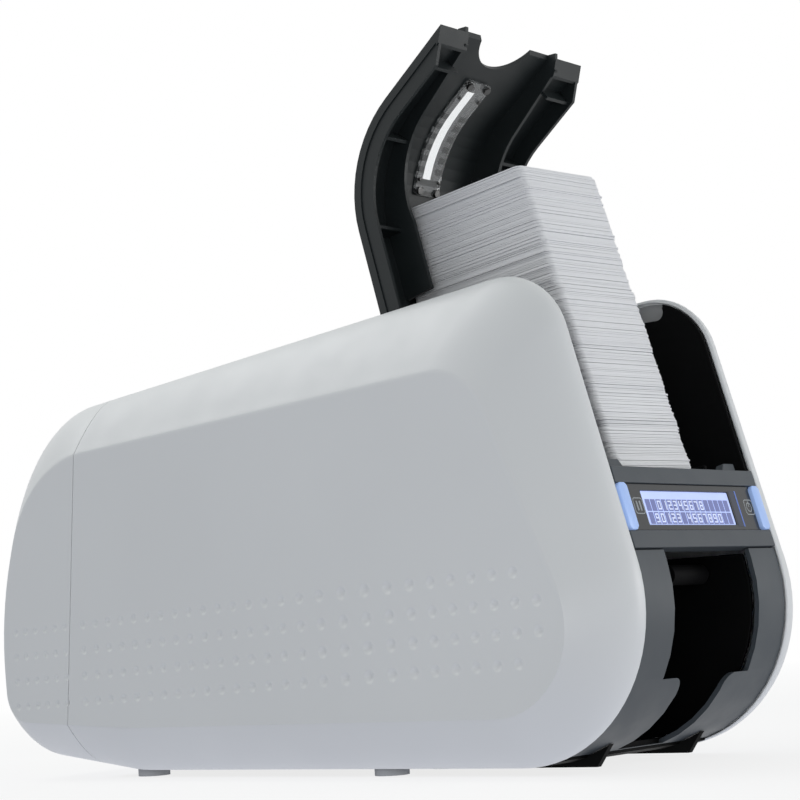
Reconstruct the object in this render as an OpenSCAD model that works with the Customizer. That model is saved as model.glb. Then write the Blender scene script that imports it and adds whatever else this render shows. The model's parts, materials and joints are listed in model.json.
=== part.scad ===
// Desktop card printer: white side panels, open hopper cover, output stacker,
// and the card transport inside. Millimetres. X is the width, -Y the front, Z up
// from the surface that the feet stand on. Side outlines are drawn as [y, z].

/* [Body] */
// Overall length, front to rear
body_l = 389; // [380:1:400]
// Overall width over both side panels
body_w = 173; // [168:1:178]
// Height of the side panels at their front corner
body_h = 215; // [210:1:220]
// Clear width between the rims of the side panels
rim_gap = 115; // [115:0.1:115.4]
// Wall of the white shells
shell_wall = 2.5; // [2:0.1:3]
// Lean of the front face from upright
front_lean = 15; // [14:0.5:16]
// Fall of the top towards the rear
top_fall = 5.5; // [5:0.5:6]
// Radius of the big front lower corner
front_low_r = 67; // [64:1:70]
// Radius of the front upper corner
front_top_r = 34; // [30:1:38]

/* [Hopper cover] */
// Half width of the hopper cover
cover_hw = 55; // [54:0.5:55]
// Radius of the knee of the hopper cover
knee_r = 57; // [55:1:59]
// Depth of its outer side walls
cover_wall_d = 11; // [9:0.5:12]
// Half distance between its two card ribs
rib_x = 34; // [33:0.5:36]
// Half width of its finger notch
notch_hw = 20; // [16:1:22]

/* [Cards] */
// Card width
card_w = 54; // [53:0.1:55]
// Card length
card_l = 85.6; // [85:0.1:86]
// Height of the loaded pack
pack_h = 146; // [60:1:150]

/* [Front] */
// Height of the lower edge of the bezel
bezel_z = 93; // [91:0.5:95]
// Height of the bezel along the slope
bezel_h = 36.3; // [35:0.1:37]
// Half width of the stacker mouth
mouth_hw = 34.5; // [32:0.5:35]
// Half width of the slot below the mouth
slot_hw = 18; // [14:0.5:20]

/* [Transport] */
// Height of the card path
path_z = 110; // [109:0.5:111]
// Radius of the driven rollers
roller_r = 8; // [7:0.5:8]
// Radius of the pinch rollers
pinch_r = 5; // [4:0.5:6]

/* [Hidden] */
$fn = 48;
e = 0.01;
running = 0.05;

function unit(a) = [cos(a), sin(a)];
function lerp(a, b, f) = a + (b - a)*f;
function reversed(v) = [for (i = [len(v) - 1:-1:0]) v[i]];
function arc(c, r, a1, a2, n) = [for (i = [0:n]) c + r*unit(a1 + (a2 - a1)*i/n)];
// Crossing point of two lines, each given by the angle of its normal and its distance
function meet(a1, d1, a2, d2) =
  [d1*sin(a2) - d2*sin(a1), d2*cos(a1) - d1*cos(a2)]/sin(a2 - a1);

// Side outline: six edges, each a normal angle and a distance, joined by rounded corners
belly_z = 3.5;
rear_r = 300;
rear_top_r = 56;
rear_low_r = 30;
front_a = 180 - front_lean;
top_a = 90 - top_fall;
rear_c = [body_l/2 - rear_r, 60];
front_d = [-body_l/2 + front_low_r, belly_z + front_low_r]*unit(front_a) + front_low_r;
front_top_z = body_h - front_top_r;
front_top_c = [(front_d - front_top_r - sin(front_a)*front_top_z)/cos(front_a), front_top_z];
top_d = front_top_c*unit(top_a) + front_top_r;
rear_high_a = top_a - acos((top_d - rear_top_r - rear_c*unit(top_a))/(rear_r - rear_top_r));
rear_low_a = -4;
rise_a = -82.5;
rise_from = [108, belly_z];
edge_a = [-90, rise_a, rear_low_a, rear_high_a, top_a, front_a];
edge_d = [-belly_z, rise_from*unit(rise_a), rear_c*unit(rear_low_a) + rear_r,
  rear_c*unit(rear_high_a) + rear_r, top_d, front_d];
corner_r = [60, rear_low_r, rear_r, rear_top_r, front_top_r, front_low_r];
corner_n = [1, 7, 4, 8, 8, 12];
function outline(inset, r) = [for (i = [0:5]) let(
    k = (i + 1) % 6,
    a1 = edge_a[i],
    a2 = i < 5 ? edge_a[k] : edge_a[0] + 360,
    c = meet(a1, edge_d[i] - inset[i] - r[i], a2, edge_d[k] - inset[k] - r[i]))
  each arc(c, r[i], a1, a2, corner_n[i])];
function even_outline(t) = outline([t, t, t, t, t, t], [for (r = corner_r) max(r - t, 3)]);
function front_y(z) = (front_d - z*sin(front_a))/cos(front_a);
function top_z(y) = (top_d - y*cos(top_a))/sin(top_a);

// Extrudes a side outline along X, starting at x
module along_x(x, h) translate([x, 0, 0]) rotate([90, 0, 90]) linear_extrude(h) children();
// Sets children on the sloping front: X across, Y up the slope, Z out of the face
module on_front() translate([0, front_y(bezel_z), bezel_z]) rotate([90 - front_lean, 0, 0]) children();
// Sets flat children on the same slope in a side outline
module on_front_2d() translate([front_y(bezel_z), bezel_z]) rotate(-front_lean) children();
// Sets children on the sloping top: X across, Y to the rear, Z out of the face
module on_top(y) translate([0, y, top_z(y)]) rotate([-top_fall, 0, 0]) children();
module both_sides() {
  children();
  mirror([1, 0, 0]) children();
}
module pin_x(x, p, r, h) translate([x, p[0], p[1]]) rotate([0, 90, 0]) cylinder(r = r, h = h);
// Box between two X values, up from y and z
module bar(x1, x2, y, z, size_y, size_z) translate([x1, y, z]) cube([x2 - x1, size_y, size_z]);

// White shells
rim_x = rim_gap/2;
bulge = body_w/2 - rim_x;
field_inset = [28, 26, 20, 26, 36, 33];
field_r = [40, 30, 260, 40, 14, 36];
// Each slice: share of the bulge, share of the way from the rim outline to the flat field
panel_slices = [[0, 0.03], [0.07, 0], [0.2, 0.03], [0.36, 0.13], [0.6, 0.38], [0.85, 0.72],
  [0.96, 0.92], [1, 1]];
function slice_outline(f, t) = outline([for (v = field_inset) v*f + t],
  [for (i = [0:5]) max(lerp(corner_r[i], field_r[i], f) - t, 3)]);
module pillow_slices(t, mouth) for (s = panel_slices)
  along_x(rim_x + (bulge - t)*s[0] - (s[0] == 0 ? mouth : 0), e) polygon(slice_outline(s[1], t));
seam_y = 128;
seam_z = 90;
seam_gap = 0.5;
// Half space in front of the seam (side -1) or behind it (side 0)
module beyond_seam(side, shift) translate([-body_w, seam_y + shift, seam_z]) rotate([top_fall, 0, 0])
  translate([0, side*body_l, -body_h]) cube([2*body_w, body_l, 2*body_h]);
frame_x = 53;
frame_t = 1.5;
frame_out = frame_x + frame_t;
boss_at = [[-40, 58], [98, 58], [98, 152], [-40, 152]];
boss_r = 4;
screw_r = 1.5;
module side_panel() {
  difference() {
    hull() pillow_slices(0, 0);
    hull() pillow_slices(shell_wall, 1);
    beyond_seam(0, -seam_gap/2);
  }
  for (p = boss_at) difference() {
    pin_x(frame_out, p, boss_r, rim_x + bulge - shell_wall - frame_out + e);
    pin_x(frame_out - 1, p, screw_r, 12);
  }
}
module right_side_panel() color("gainsboro") side_panel();
module left_side_panel() color("gainsboro") mirror([1, 0, 0]) side_panel();
module panel_screws() color("silver") both_sides() for (p = boss_at) {
  pin_x(frame_x - 2, p, 3, 2);
  pin_x(frame_x - e, p, screw_r, 11);
}
io_z = 26;
io_h = 34;
io_hw = 44;
io_y = body_l/2 - 8;
io_rim = 3;
hinge_room_y = 123;
vent_n = 10;
vent_pitch = 8;
module rear_cover() color("gainsboro") difference() {
  union() {
    difference() {
      hull() both_sides() pillow_slices(0, 0);
      hull() both_sides() pillow_slices(shell_wall, 0);
      beyond_seam(-1, seam_gap/2);
    }
    intersection() {
      bar(-io_hw - io_rim, io_hw + io_rim, io_y - io_rim, io_z - io_rim, 12, io_h + 2*io_rim);
      along_x(-body_w, 2*body_w) polygon(even_outline(0.3));
    }
  }
  bar(-rim_x, rim_x, hinge_room_y - 60, body_h - 60, 60, 100);
  bar(-io_hw, io_hw, io_y - 10, io_z, 40, io_h);
  for (i = [0:vent_n - 1]) let(x = (i - (vent_n - 1)/2)*vent_pitch) bar(x - 1.5, x + 1.5, 160, 92, 40, 34);
}

// Top cover, hinged at the rear
deck_sink = 3;
deck_t = 2.5;
deck_front_y = -49;
deck_l = 167;
deck_under = deck_sink + deck_t;
deck_hinge = [113, top_z(113) - deck_under - 5];
hinge_r = 2.5;
knuckle_r = 4;
module top_cover() color("dimgray") difference() {
  union() {
    on_top(deck_front_y) bar(-rim_x + 0.5, rim_x - 0.5, 0, -deck_under, deck_l, deck_t);
    on_top(deck_front_y) bar(-frame_x, frame_x, 0, -deck_under - 6, 2, 6 + e);
    both_sides() on_top(deck_front_y + 8)
      bar(frame_out + 0.4, rim_x - 0.6, 0, -deck_under - 10, deck_l - 24, 10 + e);
    both_sides() on_top(10) bar(19, 21, 0, -deck_under - 10, 40, 10 + e);
    both_sides() along_x(frame_x - 8, 6) translate(deck_hinge) rotate(-top_fall) difference() {
      union() {
        circle(knuckle_r);
        translate([-3, 0]) square([6, 5.5]);
      }
      circle(hinge_r + running);
    }
  }
  both_sides() bar(frame_x - 0.4, rim_x, 104, 150, 30, 60);
  on_top(deck_front_y + 6) bar(-22, 22, 0, -deck_sink - 1.2, 14, 4);
}
module top_cover_pins() color("silver") both_sides() pin_x(frame_x - 10, deck_hinge, hinge_r, frame_t + 10);

// Hopper cover in its open pose: lower run, knee and front run
cover_hinge = [-63.5, 203.4];
knee_c = [-104.3, 263.9];
lower_a = 76;
upper_a = 142.8;
lower_l = 46;
tip_y = -105;
tip_slant = 0.45;
middle_short = 4.7;
skin_t = 2;
band_d = 5;
knee_n = 12;
function knee_point(s, d) = knee_c + (knee_r + d)*unit(lerp(lower_a, upper_a, s) - 90);
// Path of the cover at distance d outside its side skin, from the root to the tip
function cover_run(d, root) = concat([knee_point(0, d) - root*unit(lower_a)],
  [for (i = [0:knee_n]) knee_point(i/knee_n, d)],
  [knee_point(1, d) + unit(upper_a)*(tip_y - tip_slant*min(d, 0) - knee_point(1, d)[0])/cos(upper_a)]);
function cover_strip(d1, d2, root) = concat(cover_run(d1, root), reversed(cover_run(d2, root)));
// Part of the path from turn s of the knee to a distance along the front run
function knee_run(d, s, along) = concat([for (i = [0:8]) knee_point(lerp(s, 1, i/8), d)],
  [knee_point(1, d) + along*unit(upper_a)]);
function knee_strip(d1, d2, s, along) = concat(knee_run(d1, s, along), reversed(knee_run(d2, s, along)));
// Front edge of the card ribs, deep at the root and shallow at the tip
rib_root_d = 18;
rib_knee_d = 8.5;
rib_tip_d = 4;
rib_low = 34;
rib_end = 40;
function rib_edge() = concat([knee_point(0, -rib_root_d) - rib_low*unit(lower_a)],
  [for (i = [0:knee_n]) knee_point(i/knee_n, -lerp(rib_root_d, rib_knee_d, i/knee_n))],
  [knee_point(1, -rib_tip_d) + rib_end*unit(upper_a)]);
function rib_back() = concat([knee_point(0, -e) - rib_low*unit(lower_a)],
  [for (i = [0:knee_n]) knee_point(i/knee_n, -e)], [knee_point(1, -e) + rib_end*unit(upper_a)]);
// Sets children on the cover: at turn s of the knee, X across, Y towards the tip, Z outwards
module on_cover(s, along) let(a = lerp(lower_a, upper_a, s), p = knee_point(s, 0) + along*unit(a))
  translate([0, p[0], p[1]]) rotate([a, 0, 0]) mirror([0, 0, 1]) children();
// Webs across the side pockets: turn of the knee and distance along
web_at = [[0, -1], [0.75, 0], [1, 27]];
end_d = 5;
window_hw = 9;
window_t = 1.5;
window_s = 0.36;
window_along = 19;
slot_window_hw = 4;
slot_s = 0.48;
slot_along = 13;
window_screw_at = [[0.39, 0], [1, 16.5]];
front_run_l = (tip_y - knee_point(1, 0)[0])/cos(upper_a);
band_end_z = knee_point(1, band_d)[1] + (tip_y + middle_short - knee_point(1, band_d)[0])*tan(upper_a);
module at_window_screws() for (w = window_screw_at, x = [-1, 1]) on_cover(w[0], w[1])
  translate([x*(window_hw - 2.6), 0, 0]) children();
module hopper_cover() color("darkslategray") difference() {
  union() {
    both_sides() {
      along_x(rib_x, cover_hw - rib_x) polygon(cover_strip(0, -skin_t, lower_l));
      along_x(cover_hw - 2.5, 1.8) polygon(cover_strip(-e, -cover_wall_d, lower_l - 3));
      along_x(cover_hw - 2.5, 2.5) polygon(cover_strip(0, -4, lower_l));
      difference() {
        along_x(rib_x, 2) polygon(cover_strip(band_d, -skin_t, lower_l - 12));
        bar(0, body_w, tip_y - 10, band_end_z, 20, body_h);
      }
      along_x(rib_x, 2) polygon(concat(rib_back(), reversed(rib_edge())));
      for (w = web_at) on_cover(w[0], w[1]) bar(rib_x + 1, cover_hw - 2, -0.8, -9.5, 1.6, 9.5 - skin_t/2);
      intersection() {
        along_x(rib_x, cover_hw - rib_x) polygon(cover_strip(-e, -end_d, lower_l));
        bar(0, body_w, tip_y - 1, body_h, 4.5, body_h);
      }
      pin_x(rib_x, cover_hinge, knuckle_r, cover_hw - rib_x);
      pin_x(cover_hw - 7, cover_hinge, 5.5, 7);
    }
    difference() {
      along_x(-rib_x - 1, 2*rib_x + 2) polygon(cover_strip(band_d, band_d - skin_t, lower_l - 12));
      bar(-rib_x - 2, rib_x + 2, tip_y - 10, body_h, 10 + middle_short, body_h);
    }
  }
  pin_x(-cover_hw - 1, cover_hinge, hinge_r + running, 2*cover_hw + 2);
  on_cover(1, front_run_l + 3.5) translate([0, 0, -30]) cylinder(r = notch_hw, h = 60);
  along_x(-slot_window_hw, 2*slot_window_hw) polygon(knee_strip(band_d + 1, 0, slot_s, slot_along));
  at_window_screws() cylinder(r = 1.05, h = 10);
}
module hopper_cover_pins() color("silver") both_sides() pin_x(cover_hw - 9, cover_hinge, hinge_r, 11.2);
window_d = band_d - skin_t - 0.05;
module level_window() color("lightcyan") difference() {
  union() {
    along_x(-window_hw, 2*window_hw) polygon(knee_strip(window_d, window_d - window_t, window_s, window_along));
    along_x(-slot_window_hw + 0.2, 2*slot_window_hw - 0.4)
      polygon(knee_strip(band_d - 0.2, window_d - e, slot_s + 0.01, slot_along - 0.3));
  }
  at_window_screws() translate([0, 0, -5]) cylinder(r = 1.05, h = 20);
}
module window_screws() color("black") at_window_screws() {
  translate([0, 0, window_d - window_t - 1.3]) cylinder(r = 1.9, h = 1.2);
  translate([0, 0, window_d - window_t - 0.2]) cylinder(r = 1, h = 3.2);
}

// Hopper: black side walls inside the rims, tray, back and hinge rail
wall_x = 55.6;
wall_t = 1.6;
wall_rear_y = -51;
pick_at = [-110, 112.2];
module hopper_wall_shape() difference() {
  intersection() {
    polygon(even_outline(2.2));
    translate([-body_l/2, bezel_z + 3]) square([body_l/2 + wall_rear_y, body_h]);
  }
  on_front_2d() translate([-10, -20]) square([22.4, bezel_h + 20.4]);
  translate([-141, 210]) square([64, 10]);
  translate([-137, 204]) square([58, 10]);
  translate([-137, 208]) circle(4);
  translate(cover_hinge) circle(hinge_r);
}
module left_hopper_wall() color("black") difference() {
  along_x(-wall_x - wall_t, wall_t) hopper_wall_shape();
  for (p = [pick_at, front_feed_at]) pin_x(-rim_x, p, 4, 4);
}
module right_hopper_wall() color("black") along_x(wall_x, wall_t) hopper_wall_shape();
module hinge_rail() color("black") bar(-wall_x, wall_x, -55.5, 195, 4.5, 7);
// The pack rests on the tray, front edge up, leans back and stands a little askew
pack_y = -173;
pack_z = 127;
pack_tilt = 5.7;
pack_lean = 16.4;
pack_x = -4;
pack_turn = -5;
card_corner_r = 3.2;
block_n = 24;
module on_pack() translate([pack_x, pack_y, pack_z]) rotate([-pack_tilt, 0, 0]) children();
module card_plan() {
  for (s = [0, 1]) translate([-card_w/2 + s*card_corner_r, (1 - s)*card_corner_r])
    square([card_w - 2*s*card_corner_r, card_l - 2*(1 - s)*card_corner_r]);
  for (x = [-1, 1], y = [card_corner_r, card_l - card_corner_r])
    translate([x*(card_w/2 - card_corner_r), y]) circle(card_corner_r);
}
module card_stack() color("whitesmoke") on_pack() for (i = [0:block_n - 1]) let(h = pack_h/block_n)
  translate([0.35*sin(i*137), card_l/2 + i*h*tan(pack_lean - pack_tilt) + 0.3*sin(i*211), i*h])
    rotate([0, 0, pack_turn]) linear_extrude(h + e) translate([0, -card_l/2]) card_plan();
tray_drop = 0.4;
module hopper_tray() color("black") on_pack() difference() {
  union() {
    bar(-frame_x - pack_x, frame_x - pack_x, 1, -tray_drop - 2.5, card_l - 2, 2.5);
    for (x = [-38 - pack_x, 36 - pack_x]) bar(x, x + 2, 3, -tray_drop - e, card_l - 8, 5);
  }
  bar(-24 - pack_x, 24 - pack_x, 50, -10, 26, 20);
}
back_gap = 3;
module hopper_back() color("black") translate([0, pack_y, pack_z]) rotate([-pack_lean, 0, 0])
  bar(-frame_x + 0.2, frame_x - 0.2, card_l*cos(pack_lean - pack_tilt) + back_gap, 12, 2.5, 66);

// Front bezel with its display and two keys
bezel_x = 57.2;
bezel_t = 7;
face_low = 7.7;
face_high = 28.9;
face_sink = 2.2;
key_in = 50.4;
key_out = 57;
lcd_x = -4;
lcd_hw = 35;
lcd_low = 10.6;
lcd_high = 25.6;
tab_h = 8;
module front_bezel() color("#50555a") on_front() difference() {
  union() {
    bar(-bezel_x, bezel_x, 0, -bezel_t, bezel_h, bezel_t);
    both_sides() translate([0, bezel_h - 3, -9]) linear_extrude(4.2)
      polygon([[39, 0], [39, 3], [42.5, tab_h], [51.5, tab_h], [51.5, 0]]);
  }
  bar(-rim_x, rim_x, face_low, -face_sink, face_high - face_low, 5);
  both_sides() {
    bar(key_in - 0.3, rim_x + 1, face_low, -3, face_high - face_low, 5);
    bar(key_in + 0.3, key_out - 0.9, face_low + 0.8, -10, face_high - face_low - 1.6, 20);
  }
  bar(lcd_x - 40.3, lcd_x + 40.3, face_low + 0.7, -10, face_high - face_low - 1.4, 20);
}
module display_panel() color("#2b3034") on_front() difference() {
  bar(-key_in + 0.4, key_in - 0.4, face_low + 0.3, -face_sink, face_high - face_low - 0.6, 1.2);
  bar(lcd_x - lcd_hw - 0.3, lcd_x + lcd_hw + 0.3, lcd_low - 0.3, -5, lcd_high - lcd_low + 0.6, 10);
}
module lcd_module() color("#8fa2d8") on_front() {
  bar(lcd_x - 40, lcd_x + 40, face_low + 1, -9.9, face_high - face_low - 2, 7.6);
  bar(lcd_x - lcd_hw, lcd_x + lcd_hw, lcd_low, -2.4, lcd_high - lcd_low, 0.9);
}
key_tip = 0.7;
module key() {
  bar(key_in, key_out, face_low + 0.2, -1.6, face_high - face_low - 0.4, 1.6 + key_tip);
  bar(key_in + 0.7, key_out - 1.3, face_low + 1.3, -8.6, face_high - face_low - 2.6, 8);
}
module power_key() color("lightskyblue") on_front() key();
module pause_key() color("lightskyblue") on_front() mirror([1, 0, 0]) key();
module key_board() color("seagreen") on_front() {
  bar(-rim_x + 1, rim_x - 1, 5, -11.6, 26, 1.6);
  both_sides() bar(key_in + 0.8, key_in + 4.8, 16, -10 - e, 4, 0.4);
}

// Stacker: curved front, black bin and exit roller
stack_front_t = 2.2;
mouth_z = 38;
slot_z = 8;
lug_r = 6;
bin_x = 36.8;
bin_wall = 1.6;
bin_z = 8;
bin_top = 90;
bin_rear_y = -96;
exit_at = [-166, 82];
module front_cut() {
  translate([-mouth_hw, mouth_z]) square([2*mouth_hw, body_h]);
  translate([-slot_hw, slot_z]) square([2*slot_hw, body_h]);
  for (m = [0, 1]) mirror([m, 0]) translate([slot_hw - e, mouth_z - lug_r]) difference() {
    square([lug_r, lug_r + e]);
    translate([lug_r, 0]) circle(lug_r);
  }
}
module stacker_front() color("#50555a") difference() {
  along_x(-bezel_x, 2*bezel_x) intersection() {
    difference() {
      polygon(even_outline(1.2));
      polygon(even_outline(1.2 + stack_front_t));
    }
    difference() {
      translate([-body_l/2, 0]) square([body_l/2 - 146, bezel_z + 5]);
      on_front_2d() translate([-10, -0.6]) square([60, 20]);
    }
  }
  translate([0, -100, 0]) rotate([90, 0, 0]) linear_extrude(body_l/2) front_cut();
}
module output_stacker() color("#1a1c1e") difference() {
  union() {
    along_x(-bin_x, 2*bin_x) intersection() {
      polygon(even_outline(5.6));
      translate([-body_l/2, bin_z]) square([body_l/2 + bin_rear_y, 2]);
    }
    both_sides() along_x(bin_x - bin_wall, bin_wall) intersection() {
      polygon(even_outline(5.6));
      translate([-body_l/2, bin_z]) square([body_l/2 + bin_rear_y, bin_top - bin_z]);
    }
    bar(-bin_x, bin_x, bin_rear_y - 2, bin_z, 2, bin_top - bin_z);
  }
  pin_x(-body_w, exit_at, 2 + running, 2*body_w);
}
module exit_roller() color("#2a2d30") {
  pin_x(-bin_x - 2, exit_at, 2, 2*bin_x + 4);
  both_sides() pin_x(3, exit_at, 4.5, 28);
}

// Base, feet, frame plates and tie bars
base_t = 4;
foot_x = 48;
foot_y = [-44, 114];
foot_r = 8;
runner_x = 34.8;
runner_w = 3;
board_z = 15.5;
board_at = [[38, -72], [38, 86]];
module base_chassis() color("#1a1c1e") difference() {
  union() {
    along_x(-bezel_x, 2*bezel_x) intersection() {
      difference() {
        polygon(even_outline(0));
        polygon(even_outline(base_t));
      }
      translate([-145.5, 0]) square([145.5 + 135, 30]);
    }
    both_sides() bar(frame_x - 3, frame_x - e, -88, belly_z + base_t - e, 204, 12);
    both_sides() along_x(runner_x, runner_w) difference() {
      polygon([[-158, 12], [-150.5, 2.1], [-60, 1.6], [-57, 8]]);
      polygon(even_outline(0.8));
    }
    both_sides() for (p = board_at) translate([p[0], p[1], belly_z + 1])
      cylinder(r = 3, h = board_z - belly_z - 1);
  }
  for (y = [-30:15:90]) bar(-25, 25, y, 0, 3, 12);
}
module feet() color("lightgray") difference() {
  both_sides() for (y = foot_y) translate([foot_x, y, 0]) cylinder(r = foot_r, h = belly_z + 4);
  along_x(-rim_x, rim_gap) polygon(even_outline(0));
}
feed_z = path_z - roller_r;
front_feed_at = [-58, feed_z];
platen_at = [30, feed_z];
rear_feed_at = [88, feed_z];
card_t = 0.8;
front_pinch_at = [-58, path_z + card_t + pinch_r];
rear_pinch_at = [88, path_z + card_t + pinch_r];
shaft_r = 3;
pinch_shaft_r = 2;
motor_gap = 0.15;
gear_teeth = 50;
pinion_teeth = 14;
motor_dir = -108;
motor_at = platen_at + (gear_teeth/2 + pinion_teeth/2 + motor_gap)*unit(motor_dir);
tie_at = [[-84, 60], [110, 36], [110, 130], [-40, 182]];
tie_r = 3;
frame_shape = [[-128, 98], [-128, 117.5], [-98, 114], [-90, 117], [-70, 180], [-54, 190], [60, 184],
  [104, 182], [108, 186], [118, 186], [118, 10], [100, 8], [-88, 8], [-88, 98]];
module frame_plate() difference() {
  along_x(frame_x, frame_t) polygon(frame_shape);
  for (p = [pick_at, front_feed_at, platen_at, rear_feed_at]) pin_x(frame_x - 1, p, shaft_r + running, 4);
  for (p = [front_pinch_at, rear_pinch_at]) pin_x(frame_x - 1, p, pinch_shaft_r + running, 4);
  for (p = boss_at) pin_x(frame_x - 1, p, screw_r, 4);
  pin_x(frame_x - 1, deck_hinge, hinge_r, 4);
  for (y = [-48, 60]) along_x(frame_x - 1, 4) translate([y, 36]) circle(12);
}
module right_frame() color("silver") frame_plate();
module left_frame() color("silver") difference() {
  mirror([1, 0, 0]) frame_plate();
  pin_x(-frame_x - 3, motor_at, 6, 6);
}
module tie_bars() color("silver") for (p = tie_at) pin_x(-frame_x, p, tie_r, 2*frame_x);

// Card transport
belt_x = -67.5;
belt_w = 4.5;
pulley_r = 6.6;
belt_in = 6.9;
belt_out = 7.6;
belt_over = [pick_at, front_feed_at, platen_at, rear_feed_at];
module driven_roller(p, hw) {
  pin_x(belt_x - 1, p, shaft_r, frame_out + 1.5 - belt_x);
  pin_x(-hw, p, roller_r, 2*hw);
  pin_x(belt_x - 0.5, p, pulley_r, belt_w + 1);
}
module pick_roller() color("#3a3d40") driven_roller(pick_at, 20);
module front_feed_roller() color("#3a3d40") driven_roller(front_feed_at, 30);
module rear_feed_roller() color("#3a3d40") driven_roller(rear_feed_at, 30);
module platen_roller() color("#3a3d40") driven_roller(platen_at, 30);
module pinch_roller(p) {
  pin_x(-frame_out - 0.5, p, pinch_shaft_r, 2*frame_out + 1);
  for (x = [-28, 8]) pin_x(x, p, pinch_r, 20);
}
module front_pinch_roller() color("#6a6d70") pinch_roller(front_pinch_at);
module rear_pinch_roller() color("#6a6d70") pinch_roller(rear_pinch_at);
module belt_loop(r) hull() for (p = belt_over) translate(p) circle(r);
module drive_belt() color("#202224") along_x(belt_x, belt_w) difference() {
  belt_loop(belt_out);
  belt_loop(belt_in);
}
// Straight-sided teeth of module 1
tip_h = 0.9;
root_h = 1.2;
module gear_2d(teeth) polygon([for (i = [0:teeth - 1], k = [[-root_h, -1.36], [tip_h, -0.5], [tip_h, 0.5],
    [-root_h, 1.36]]) (teeth/2 + k[0])*unit(i*360/teeth + k[1]*90/teeth)]);
gear_x = -61;
gear_w = 4.5;
module drive_gear() color("ivory") difference() {
  translate([0, platen_at[0], platen_at[1]]) along_x(gear_x, gear_w) rotate(motor_dir) gear_2d(gear_teeth);
  pin_x(gear_x - 1, platen_at, shaft_r, gear_w + 2);
  for (a = [0:60:300]) pin_x(gear_x - 1, platen_at + 14*unit(a), 4.5, gear_w + 2);
}
module motor_pinion() color("goldenrod") {
  translate([0, motor_at[0], motor_at[1]]) along_x(gear_x, gear_w)
    rotate(motor_dir + 180 + 180/pinion_teeth) gear_2d(pinion_teeth);
  pin_x(gear_x, motor_at, 2.4, -frame_x - gear_x + 4);
}
motor_w = 35;
motor_l = 28;
module drive_motor() color("#303236") difference() {
  translate([-frame_x, motor_at[0] - motor_w/2, motor_at[1] - motor_w/2]) union() {
    translate([0, 3, 0]) cube([motor_l, motor_w - 6, motor_w]);
    translate([0, 0, 3]) cube([motor_l, motor_w, motor_w - 6]);
  }
  pin_x(-frame_x - 1, motor_at, 2.4 + running, 8);
}

// Ribbon, printhead
supply_at = [78, 149];
takeup_at = [-28, 147];
hub_r = 5;
supply_r = 15;
takeup_r = 11;
ribbon_hw = 31;
cart_x = 37;
cart_t = 2;
cart_shape = [[-46, 131], [-46, 160], [-20, 166], [70, 168], [98, 165], [98, 131], [84, 128], [60, 141],
  [0, 141], [-20, 128]];
cart_bar_at = [[-42.5, 155], [94.5, 160]];
cart_peg_at = [[-41, 136], [91, 136]];
module ribbon_cartridge() color("whitesmoke") difference() {
  union() {
    both_sides() along_x(cart_x, cart_t) polygon(cart_shape);
    for (p = cart_bar_at) pin_x(-cart_x - e, p, 2.5, 2*cart_x + 2*e);
    both_sides() for (p = cart_peg_at) pin_x(cart_x + cart_t - e, p, 3, frame_x - cart_x - cart_t + e);
  }
  for (p = [supply_at, takeup_at]) pin_x(-cart_x - 5, p, hub_r + running, 2*cart_x + 10);
}
module spool(p, r) {
  pin_x(-cart_x - 4, p, hub_r, 2*cart_x + 8);
  pin_x(-ribbon_hw, p, r, 2*ribbon_hw);
}
module supply_spool() color("#202a50") spool(supply_at, supply_r);
module takeup_spool() color("#202a50") spool(takeup_at, takeup_r);
film_path = [[66, 138.2], [36, 111.5], [24, 111.5], [-21.2, 136.6]];
film_t = 0.3;
module ribbon_film() color("#303a70") along_x(-29, 58)
  polygon(concat(film_path, reversed([for (p = film_path) p + [0, film_t]])));
head_y = 30;
module printhead() color("darkkhaki") {
  bar(-30, 30, head_y - 5, 112.4, 10, 5);
  bar(-27, 27, head_y - 7, 117.4 - e, 14, 9);
}
module printhead_bracket() color("silver") {
  bar(-26, 26, head_y - 3, 126.4, 6, 50);
  intersection() {
    on_top(head_y - 6) bar(-18.6, 18.6, 0, -deck_under - 25, 12, 25);
    bar(-30, 30, 0, 150, 80, 60);
  }
}

// Electronics and rear connectors
module main_board() color("seagreen") {
  bar(-44, 44, -80, board_z, 174, 1.6);
  for (p = [[-30, -60, 14, 14, 3], [10, -40, 18, 18, 2.5], [-10, 10, 22, 10, 8], [20, 30, 10, 24, 12],
      [-34, 50, 12, 30, 10], [-36, -20, 8, 20, 6], [0, 66, 26, 12, 9]])
    translate([p[0], p[1], board_z + 1.6 - e]) cube([p[2], p[3], p[4]]);
  for (x = [22, 34], y = [-20, -6]) translate([x, y, board_z + 1.6 - e]) cylinder(r = 5, h = 16);
}
plate_y = io_y - 2;
io_mid_z = io_z + io_h/2;
inlet_x = -30;
usb_x = 0;
switch_x = 30;
socket_r = 3.2;
socket_l = 10;
module connector_plate() color("silver") difference() {
  bar(-io_hw + 0.1, io_hw - 0.1, plate_y, io_z + 0.1, 2, io_h - 0.2);
  translate([inlet_x, plate_y - 1, io_mid_z]) rotate([-90, 0, 0]) cylinder(r = 5, h = 4);
  bar(usb_x - 6.1, usb_x + 6.1, plate_y - 1, io_mid_z - 5.6, 4, 11.2);
  bar(switch_x - 7, switch_x + 7, plate_y - 1, io_mid_z - 10.5, 4, 21);
}
module power_inlet() color("black") translate([inlet_x, 0, io_mid_z]) difference() {
  union() {
    translate([0, plate_y - 14, 0]) rotate([-90, 0, 0]) cylinder(r = 4.9, h = 16);
    translate([0, plate_y + 2, 0]) rotate([-90, 0, 0]) cylinder(r = 6.5, h = 1.5);
  }
  translate([0, plate_y + 3.5 - socket_l, 0]) rotate([-90, 0, 0]) cylinder(r = socket_r, h = socket_l + 1);
}
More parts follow.
